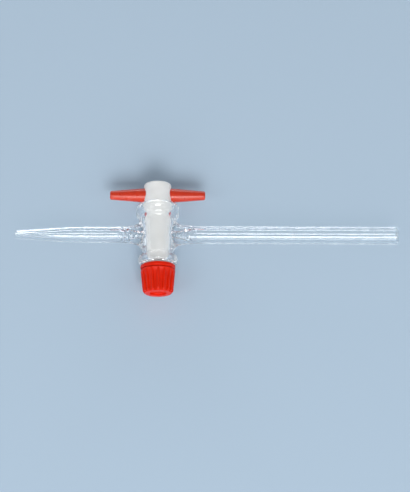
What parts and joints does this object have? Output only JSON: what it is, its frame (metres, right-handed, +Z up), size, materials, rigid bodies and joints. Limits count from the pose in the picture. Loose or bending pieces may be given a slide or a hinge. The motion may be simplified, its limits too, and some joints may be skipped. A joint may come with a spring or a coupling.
{
  "type": "glass stopcock",
  "caption": "Lab stopcock in clear glass with a long inlet arm and a drawn-out jet; a tapered white key with a bar handle, held by a ribbed screw cap, opens and shuts the flow.",
  "frame": {"origin": "crossing of the key axis and the flow axis, in the middle of the flow bore", "axes": "+X along the flow axis towards the inlet arm's end, +Y along the key axis towards the handle, +Z up from the table that the stopcock lies on"},
  "size_m": [0.175, 0.0522, 0.0198],
  "materials": {
    "clear_glass": "clear borosilicate, fire-polished",
    "white_ptfe": "white, satin and slightly waxy, finely turned",
    "handle_plastic": "orange-red, moulded, glossy",
    "cap_plastic": "red, moulded, glossy",
    "ring_rubber": "black, matt"
  },
  "bodies": {
    "glass": {"glass_body": "clear_glass"},
    "key": {"key_plug": "white_ptfe", "handle_bar": "handle_plastic"},
    "seals": {"ptfe_washer": "white_ptfe", "rubber_ring": "ring_rubber"},
    "cap": {"screw_cap": "cap_plastic"}
  },
  "joints": [
    {"name": "key_turn", "type": "hinge", "parent": "glass", "child": "key", "pos_m": [0, 0, 0], "axis": [0, 1, 0], "continuous": true},
    {"name": "seals_slide", "type": "slide", "parent": "key", "child": "seals", "axis": [0, -1, 0], "range_m": [0, 0.0075]},
    {"name": "cap_turn", "type": "hinge", "parent": "seals", "child": "cap", "pos_m": [0, 0, 0], "axis": [0, -1, 0], "range_deg": [0, 1800]}
  ],
  "couplings": [
    {"joint": "cap_turn", "follows": "seals_slide", "rad_per_m": 4188.8}
  ]
}
